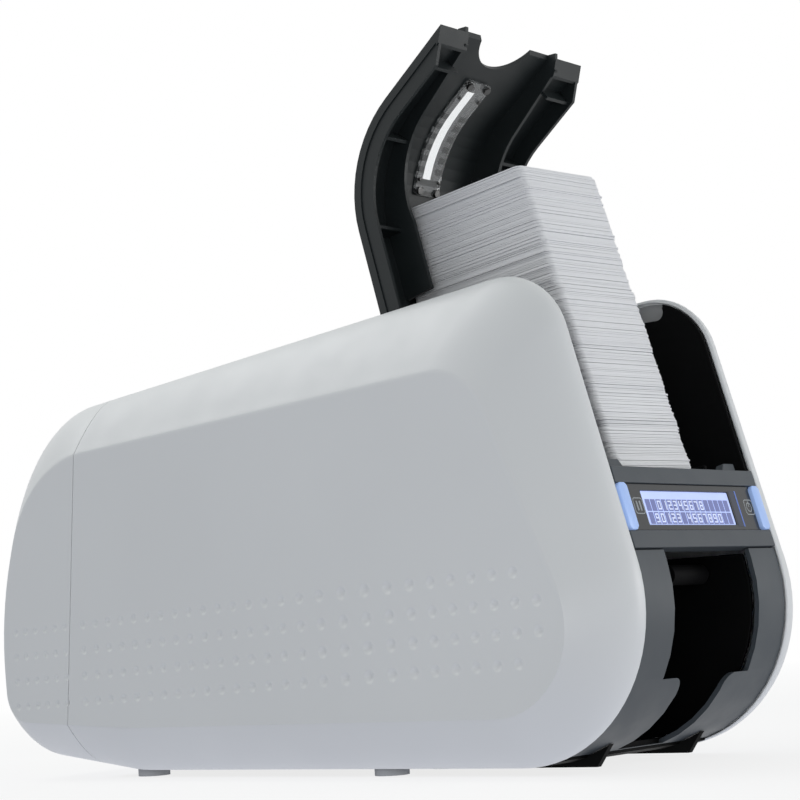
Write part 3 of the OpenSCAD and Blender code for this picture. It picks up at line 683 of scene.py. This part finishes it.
def makeCards():
    p = pack
    rng = random.Random(p["seed"])
    w, l, t = p["size"]
    card = shapedBox((-w / 2, 0, 0), (w / 2, l, t), bevel=0, corner=p["corner"], cornerSteps=p["cornerSteps"])
    place = shiftBy(p["base"]) @ Matrix.Rotation(math.radians(-p["tilt"]), 4, "X")
    slope = math.tan(math.radians(p["lean"] - p["tilt"]))
    pitch = p["height"] / p["count"]
    atFront = [v.co.y < p["corner"] * mm * 0.5 for v in card.data.vertices]
    untilNext = 0
    cards = []
    for i in range(p["count"]):
        if untilNext == 0:
            untilNext = rng.randint(*p["groupOf"])
            group = [rng.uniform(-1, 1) * p["groupSlip"] for k in range(2)]
        untilNext -= 1
        x = group[0] + rng.gauss(0, p["slip"])
        y = group[1] + rng.gauss(0, p["slip"])
        if rng.random() < p["outlier"]:
            x += rng.uniform(-p["outlierSlip"][0], p["outlierSlip"][0])
            y -= rng.uniform(0, p["outlierSlip"][1])
        drop = rng.choice(p["drops"])
        # a few cards take a dark tone, a painted shadow for the gaps between cards
        gapShadeShare = p["gapShadeShare"][0 if i < p["gapShadeUpTo"] * p["count"] else 1]
        tone = rng.uniform(*p["gapShadeTones"]) if rng.random() < gapShadeShare else rng.uniform(*p["tones"])
        # the front faces are pulled towards one light tone, so the painted gap shadow shows less there
        frontTone = tone * p["frontBlend"][0] + p["frontTone"] * p["frontBlend"][1]
        turn = Matrix.Rotation(math.radians(p["askew"] + rng.gauss(0, p["yaw"])), 4, "Z")
        shift = shiftBy((x, l / 2 + i * pitch * slope + y, i * pitch + p["lift"] - drop))
        one = placedCopy("card", card.data, place @ shift @ turn @ shiftBy((0, -l / 2, 0)))
        tones = one.data.attributes.new("toneAndGapShade", "FLOAT", "POINT")
        tones.data.foreach_set("value", [frontTone if front else tone for front in atFront])
        cards.append(one)
    bpy.data.objects.remove(card)
    stack = joinInto(cards[0], cards[1:])
    finishPiece(stack, "card_pack", bodyOf["card_stack"], finishes["card"], ["card_stack"], 40)
    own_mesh(stack)
    print("cards stacked")


makeCards()


# ---- finer copies of the plain nodes: width of the rounding, steps, angle from which edges are rounded, and
# where it isn't 35, the angle up to which neighbouring faces are shaded as one
fineNodes = {
    "hopper_cover": (0.3, 3, 30, 1), "top_cover": (0.5, 3, 30, 1),
    "front_bezel": (0.55, 3, 30), "stacker_front": (0.7, 3, 30),
    "output_stacker": (0.4, 2, 30), "base_chassis": (0.5, 2, 30), "left_hopper_wall": (0.35, 2, 30),
    "right_hopper_wall": (0.35, 2, 30), "hopper_tray": (0.4, 2, 30), "hopper_back": (0.5, 2, 30),
    "hinge_rail": (0.4, 2, 30), "feet": (0.7, 3, 30), "exit_roller": (0.5, 2, 30),
    "display_panel": (0.2, 2, 30), "window_screws": (0.25, 2, 30), "panel_screws": (0.4, 2, 30),
    "drive_motor": (0.5, 2, 30), "drive_gear": (0.15, 1, 40), "motor_pinion": (0.12, 1, 40),
    "pick_roller": (0.4, 2, 30), "front_feed_roller": (0.4, 2, 30), "rear_feed_roller": (0.4, 2, 30),
    "platen_roller": (0.4, 2, 30), "front_pinch_roller": (0.4, 2, 30), "rear_pinch_roller": (0.4, 2, 30),
    "tie_bars": (0.4, 2, 30), "left_frame": (0.2, 1, 30), "right_frame": (0.2, 1, 30),
    "ribbon_cartridge": (0.35, 2, 30), "supply_spool": (0.4, 2, 30), "takeup_spool": (0.4, 2, 30),
    "printhead": (0.4, 2, 30), "printhead_bracket": (0.4, 2, 30), "main_board": (0.2, 1, 30),
    "key_board": (0.15, 1, 30), "connector_plate": (0.3, 2, 30), "power_inlet": (0.35, 2, 30),
    "usb_port": (0.2, 2, 30), "switch_housing": (0.35, 2, 30), "power_switch": (0.35, 2, 30),
    "top_cover_pins": (0.3, 2, 30), "hopper_cover_pins": (0.3, 2, 30), "drive_belt": (0.15, 1, 40),
    "lcd_module": (0.15, 1, 30),
}
for nodeName, shape in fineNodes.items():
    roundedCopy(nodeName, *shape)
print("finer copies made")


# ---- level window: a curved clear plate behind the slot of the hopper cover, with small pegs beside it
level = {
    "centre": (-104.3, 263.9), "radius": 57, "turn": (76, 142.8), "from": 0.36, "along": 19, "halfWidth": 9,
    "depth": (1.45, 2.95), "corner": 2.2, "cornerSteps": 5, "steps": 60,
    "pegs": ((0.47, 0), (1, 9)), "pegAt": 7.3, "pegR": 0.9, "pegRound": 0.25, "pegDepth": (0.5, 1.6),
}


def levelPoint(share, along, depth):
    a = level["turn"][0] + (level["turn"][1] - level["turn"][0]) * share
    return Vector(level["centre"]) + (level["radius"] + depth) * unit(a - 90) + along * unit(a)


def makeLevelWindow():
    w = level
    shares = [w["from"] + (1 - w["from"]) * i / w["steps"] for i in range(w["steps"] + 1)]
    inner, outer = [[levelPoint(s, 0, d) for s in shares] + [levelPoint(1, w["along"], d)]
                    for d in w["depth"]]
    ring = outer + inner[::-1]
    ob = loftRings([(-w["halfWidth"], ring), (w["halfWidth"], ring)])
    for side in (-1, 1):
        pickIn(ob, "EDGE", lambda edge: edge.is_boundary and all(v.co.x * side > 0 for v in edge.verts))
        bpy.ops.mesh.edge_face_add()
        bpy.ops.object.mode_set(mode="OBJECT")
    recalculate(ob)
    ends = [Vector((p.x, p.y)) * mm for p in (outer[0], outer[-1], inner[0], inner[-1])]

    def atEnd(point):
        return min((Vector((point.y, point.z)) - end).length for end in ends) < 1e-5

    def atCorner(edge):
        a, b = (v.co for v in edge.verts)
        return abs(a.x - b.x) < 1e-6 and atEnd(a) and atEnd(b)

    editBevel(ob, w["corner"], w["cornerSteps"], atCorner)
    finishPiece(ob, "level_window_plate", "hopper_cover", finishes["window"], ["level_window"], 40)
    pegs = []
    for share, along in w["pegs"]:
        for side in (-1, 1):
            low, high = [levelPoint(share, along, d) for d in w["pegDepth"]]
            middle = (low + high) / 2
            deselect()
            bpy.ops.mesh.primitive_cylinder_add(vertices=24, radius=w["pegR"] * mm,
                                                depth=(high - low).length * mm)
            peg = bpy.context.object
            applyModifier(peg, "BEVEL", width=w["pegRound"] * mm, segments=2, limit_method="ANGLE",
                          angle_limit=math.radians(40))
            lean = Vector((0, high.x - low.x, high.y - low.y)).to_track_quat("Z", "X").to_matrix().to_4x4()
            peg.data.transform(shiftBy((side * w["pegAt"], middle.x, middle.y)) @ lean)
            pegs.append(peg)
    finishPiece(joinInto(pegs[0], pegs[1:]), "window_pegs", "hopper_cover", finishes["screw"])
    print("level window made")


makeLevelWindow()


# ---- bezel: screen, keys, marks and a painted reflection, set on the sloping front
front = {
    "baseZ": 93,
    "screen": {"x": (-39, 31), "u": (10.6, 25.6), "n": -1.5, "sunk": 0.3, "proud": 0.03,
               "columns": 16, "pitch": 4.2, "cell": (3.55, 5.3), "firstX": -37.6, "margin": 0.3,
               "rows": (16.7, 10.9), "cellThick": 0.12},
    "digits": {"rows": ((2, "012345678"), (1, "90123"), (7, "4567890")), "rowOf": (0, 1, 1),
               "size": (2.5, 4.0), "stroke": 0.55, "thick": 0.1, "proud": 0.13},
    "key": {"x": (50.4, 57.0), "u": (7.9, 28.7), "n": (-1.6, 0.7), "cut": 1.5, "round": 0.35,
            "stemX": (51.2, 55.6), "stemU": (9.4, 27.2), "stemN": (-8.5, -1.5), "stemRound": 0.3},
    "mark": {"x": (-43.5, 46.2), "u": 18.8, "size": 7.3, "corner": 1.5, "stroke": 0.42, "thick": 0.08,
             "n": -1.0, "barX": (-1.15, 1.15), "barHalf": (0.5, 2.2), "barCorner": 0.2,
             "ring": 4.4, "strokeU": (0.2, 2.9)},
    "reflection": {"u": (9.6, 26.4), "n": (-1.1, -0.93), "dark": (32.2, 36.2), "light": (36.9, 37.9)},
}
frontPlace = (Matrix.Translation((0, frontY(front["baseZ"]) * mm, front["baseZ"] * mm))
              @ Matrix.Rotation(math.radians(90 - bodyOutline["frontLean"]), 4, "X"))
moreFinishes = {
    "cells": glowing("screenCells", (0.17, 0.20, 0.46), 0.20, 0.4),
    "digits": glowing("screenDigits", (0.70, 0.76, 0.95), 0.42, 0.4),
    "frame": glowing("screenFrame", (0.50, 0.60, 0.95), 0.45, 0.35),
    "mark": mouldedPlastic("printedMark", (0.36, 0.39, 0.40), 0.5, depth=0.004),
    # the next two finishes are a painted reflection beside the screen: its dark band of painted shade and its
    # glowing band of painted highlight
    "reflectionDarkBand": mouldedPlastic("paintedReflectionDark", (0.010, 0.022, 0.060), 0.12, depth=0.002),
    "reflectionBrightBand": glowing("paintedReflectionBright", (0.08, 0.16, 0.52), 0.25, 0.2),
}


def onSlope(ob, name, finish, body=printerBody, standsFor=()):
    ob.data.transform(frontPlace)
    finishPiece(ob, name, body, finish, standsFor)


def copiesJoined(source, shifts):
    made = [placedCopy("copy", source.data, shiftBy(shift)) for shift in shifts]
    bpy.data.objects.remove(source)
    return joinInto(made[0], made[1:])


def makeScreen():
    s = front["screen"]
    lit = shapedBox((s["x"][0], s["u"][0], s["n"] - s["sunk"]), (s["x"][1], s["u"][1], s["n"] + s["proud"]),
                    bevel=0.02, segments=1)
    onSlope(lit, "screen_light", moreFinishes["frame"])
    w, h = s["cell"]
    cell = shapedBox((0, 0, 0), (w, h, s["cellThick"]), bevel=0.04, segments=1, corner=0.15)
    places = [(s["firstX"] + c * s["pitch"] + s["margin"], u, s["n"] + s["proud"])
              for u in s["rows"] for c in range(s["columns"])]
    onSlope(copiesJoined(cell, places), "screen_cells", moreFinishes["cells"])
    print("screen cells set")


def makeDigits():
    # plain numbers in place of the words on the screen
    s = front["screen"]
    d = front["digits"]
    w, h = d["size"]
    k = d["stroke"]
    strokes = {"a": (0, h - k, w, h), "g": (0, (h - k) / 2, w, (h + k) / 2), "d": (0, 0, w, k),
               "f": (0, h / 2, k, h), "b": (w - k, h / 2, w, h),
               "e": (0, 0, k, h / 2), "c": (w - k, 0, w, h / 2)}
    shapes = {"0": "abcdef", "1": "bc", "2": "abged", "3": "abgcd", "4": "fgbc", "5": "afgcd", "6": "afgcde",
              "7": "abc", "8": "abcdefg", "9": "abcdfg"}
    bars = {key: shapedBox((x1, y1, 0), (x2, y2, d["thick"]), bevel=0)
            for key, (x1, y1, x2, y2) in strokes.items()}
    made = []
    for (column, word), row in zip(d["rows"], d["rowOf"]):
        for i, digit in enumerate(word):
            x = s["firstX"] + (column + i) * s["pitch"] + s["margin"] + (s["cell"][0] - w) / 2
            u = s["rows"][row] + (s["cell"][1] - h) / 2
            place = shiftBy((x, u, s["n"] + d["proud"]))
            made += [placedCopy("stroke", bars[key].data, place) for key in shapes[digit]]
    for ob in bars.values():
        bpy.data.objects.remove(ob)
    onSlope(joinInto(made[0], made[1:]), "screen_digits", moreFinishes["digits"])
    print("screen digits set")


def makeKeys():
    k = front["key"]
    for side, name in ((-1, "pause_key"), (1, "power_key")):
        xs = sorted(side * x for x in k["x"])
        ob = shapedBox((xs[0], k["u"][0], k["n"][0]), (xs[1], k["u"][1], k["n"][1]), bevel=k["round"],
                       segments=3, corner=k["cut"])
        stem = sorted(side * x for x in k["stemX"])
        low, high = zip(stem, k["stemU"], k["stemN"])
        joinInto(ob, [shapedBox(low, high, bevel=k["stemRound"])])
        onSlope(ob, name + "_lit", finishes["key"], name, [name])
    print("keys made")


def flatRing(kind, width, corner, stroke, thick):
    # an outline as printed: a plate with rounded corners, inset, opened and given its thickness
    deselect()
    if kind == "square":
        bpy.ops.mesh.primitive_plane_add(size=width * mm)
        bpy.ops.object.mode_set(mode="EDIT")
        bpy.ops.mesh.select_all(action="SELECT")
        bpy.ops.mesh.bevel(offset=corner * mm, segments=5, affect="VERTICES")
    else:
        bpy.ops.mesh.primitive_circle_add(vertices=36, radius=width / 2 * mm, fill_type="NGON")
        bpy.ops.object.mode_set(mode="EDIT")
    bpy.ops.mesh.select_mode(type="FACE")
    bpy.ops.mesh.select_all(action="SELECT")
    bpy.ops.mesh.inset(thickness=stroke * mm)
    bpy.ops.mesh.delete(type="FACE")
    bpy.ops.object.mode_set(mode="OBJECT")
    ob = bpy.context.object
    applyModifier(ob, "SOLIDIFY", thickness=thick * mm, offset=0)
    return ob


def makeMarksAndReflection():
    m = front["mark"]
    k = m["stroke"]
    for side, name in ((-1, "pause_mark"), (1, "power_mark")):
        ob = flatRing("square", m["size"], m["corner"], k, m["thick"])
        if side < 0:
            w, h = m["barHalf"]
            parts = [shapedBox((x - w, -h, 0), (x + w, h, m["thick"]), bevel=0, corner=m["barCorner"])
                     for x in m["barX"]]
        else:
            low, high = m["strokeU"]
            parts = [flatRing("round", m["ring"], 0, k, m["thick"]),
                     shapedBox((-k / 2, low, 0), (k / 2, high, m["thick"]), bevel=0)]
        joinInto(ob, parts)
        ob.data.transform(shiftBy((m["x"][side > 0], m["u"], m["n"])))
        onSlope(ob, name, moreFinishes["mark"])
    # beside the screen, a painted reflection of the backlight: a dark strip of painted shade and a glowing
    # strip of painted highlight
    r = front["reflection"]
    for key, name, reflectionBand in (("dark", "painted_reflection_dark", "reflectionDarkBand"), ("light", "painted_reflection_bright", "reflectionBrightBand")):
        ob = shapedBox((r[key][0], r["u"][0], r["n"][0]), (r[key][1], r["u"][1], r["n"][1]),
                       bevel=0.03, segments=1)
        onSlope(ob, name, moreFinishes[reflectionBand])
    print("marks printed")


makeScreen()
makeDigits()
makeKeys()
makeMarksAndReflection()


# ---- floor, lights and background
studio = {
    "floor": (0.86, 0.86, 0.87), "ambient": 0.8, "below": (1.0, 1.03, 1.16), "above": (0.76, 0.80, 0.80),
    "between": ((0.38, (0.40, 0.42, 0.46)), (0.5, (0.20, 0.21, 0.22)), (0.62, (0.26, 0.27, 0.28)),
                (0.85, (0.60, 0.63, 0.63))),
    "lamps": (("topLight", (-0.4, 1.2, 1.7), 1.4, 12), ("frontLight", (1.0, -1.7, 0.2), 0.9, 12),
              ("lowFill", (-0.95, -0.75, 0.04), 0.6, 3.3)),
    "floorSize": 6, "fadeFrom": 0.45, "fadeTo": 1.6, "fadeLow": 0.8,
}


def seenDirectly(tree):
    # 1 for camera, glossy and transmission rays, so that the background shows white in all of them
    path = tree.nodes.new("ShaderNodeLightPath")
    first = tree.nodes.new("ShaderNodeMath")
    first.operation = "MAXIMUM"
    second = tree.nodes.new("ShaderNodeMath")
    second.operation = "MAXIMUM"
    link(tree, path.outputs["Is Camera Ray"], first.inputs[0])
    link(tree, path.outputs["Is Glossy Ray"], first.inputs[1])
    link(tree, first.outputs[0], second.inputs[0])
    link(tree, path.outputs["Is Transmission Ray"], second.inputs[1])
    return second.outputs[0]


def softLight(name, place, target, size, power):
    data = bpy.data.lights.new(name, "AREA")
    data.shape = "DISK"
    data.size = size
    data.energy = power
    lamp = bpy.data.objects.new(name, data)
    bpy.context.scene.collection.objects.link(lamp)
    lamp.location = place
    lamp.rotation_euler = (Vector(place) - Vector(target)).to_track_quat("Z", "Y").to_euler()


def makeWorld():
    # a sky whose tone changes with the height only, and plain white where it is seen directly
    world = bpy.data.worlds.new("paleRoom")
    bpy.context.scene.world = world
    world.use_nodes = True
    tree = world.node_tree
    tree.nodes.clear()
    lighting = tree.nodes.new("ShaderNodeBackground")
    lighting.inputs["Strength"].default_value = studio["ambient"]
    place = tree.nodes.new("ShaderNodeTexCoord")
    axes = tree.nodes.new("ShaderNodeSeparateXYZ")
    height = tree.nodes.new("ShaderNodeMapRange")
    height.inputs["From Min"].default_value = -1
    ramp = tree.nodes.new("ShaderNodeValToRGB")
    ramp.color_ramp.elements[0].position = 0
    ramp.color_ramp.elements[0].color = (*studio["below"], 1)
    ramp.color_ramp.elements[1].color = (*studio["above"], 1)
    for position, colour in studio["between"]:
        ramp.color_ramp.elements.new(position).color = (*colour, 1)
    link(tree, place.outputs["Generated"], axes.inputs["Vector"])
    link(tree, axes.outputs["Z"], height.inputs["Value"])
    link(tree, height.outputs["Result"], ramp.inputs["Fac"])
    link(tree, ramp.outputs["Color"], lighting.inputs["Color"])
    shown = tree.nodes.new("ShaderNodeBackground")
    shown.inputs["Color"].default_value = (1, 1, 1, 1)
    mix = tree.nodes.new("ShaderNodeMixShader")
    out = tree.nodes.new("ShaderNodeOutputWorld")
    link(tree, seenDirectly(tree), mix.inputs["Fac"])
    link(tree, lighting.outputs[0], mix.inputs[1])
    link(tree, shown.outputs[0], mix.inputs[2])
    link(tree, mix.outputs[0], out.inputs["Surface"])


def makeFloor():
    # the floor keeps a soft shadow near the printer and fades into the background away from it
    deselect()
    bpy.ops.mesh.primitive_plane_add(size=studio["floorSize"], location=(0, 0, 0))
    floor = bpy.context.object
    floor.name = "floorPlane"
    material = newFinish("paleFloor", studio["floor"], 0.8)
    tree = material.node_tree
    shader = tree.nodes["Principled BSDF"]
    lighter = [c * 1.02 for c in studio["floor"]]
    vary(tree, noiseOn(tree, 4, 2), studio["floor"], lighter, shader.inputs["Base Color"])
    white = tree.nodes.new("ShaderNodeEmission")
    white.inputs["Strength"].default_value = 1
    mix = tree.nodes.new("ShaderNodeMixShader")
    place = tree.nodes.new("ShaderNodeTexCoord")
    away = tree.nodes.new("ShaderNodeVectorMath")
    away.operation = "LENGTH"
    fade = tree.nodes.new("ShaderNodeMapRange")
    fade.inputs["From Min"].default_value = studio["fadeFrom"]
    fade.inputs["From Max"].default_value = studio["fadeTo"]
    fade.inputs["To Min"].default_value = studio["fadeLow"]
    soften = tree.nodes.new("ShaderNodeMath")
    soften.operation = "MULTIPLY"
    link(tree, place.outputs["Object"], away.inputs[0])
    link(tree, away.outputs["Value"], fade.inputs["Value"])
    link(tree, seenDirectly(tree), soften.inputs[0])
    link(tree, fade.outputs["Result"], soften.inputs[1])
    link(tree, soften.outputs[0], mix.inputs["Fac"])
    link(tree, shader.outputs[0], mix.inputs[1])
    link(tree, white.outputs[0], mix.inputs[2])
    link(tree, mix.outputs[0], tree.nodes["Material Output"].inputs["Surface"])
    dressWith(floor, material)
    floor.visible_diffuse = False


makeWorld()
makeFloor()
for name, place, size, power in studio["lamps"]:
    softLight(name, place, (0, 0, 0.1), size, power)
bpy.context.scene.view_settings.view_transform = "Standard"
print("studio lit")
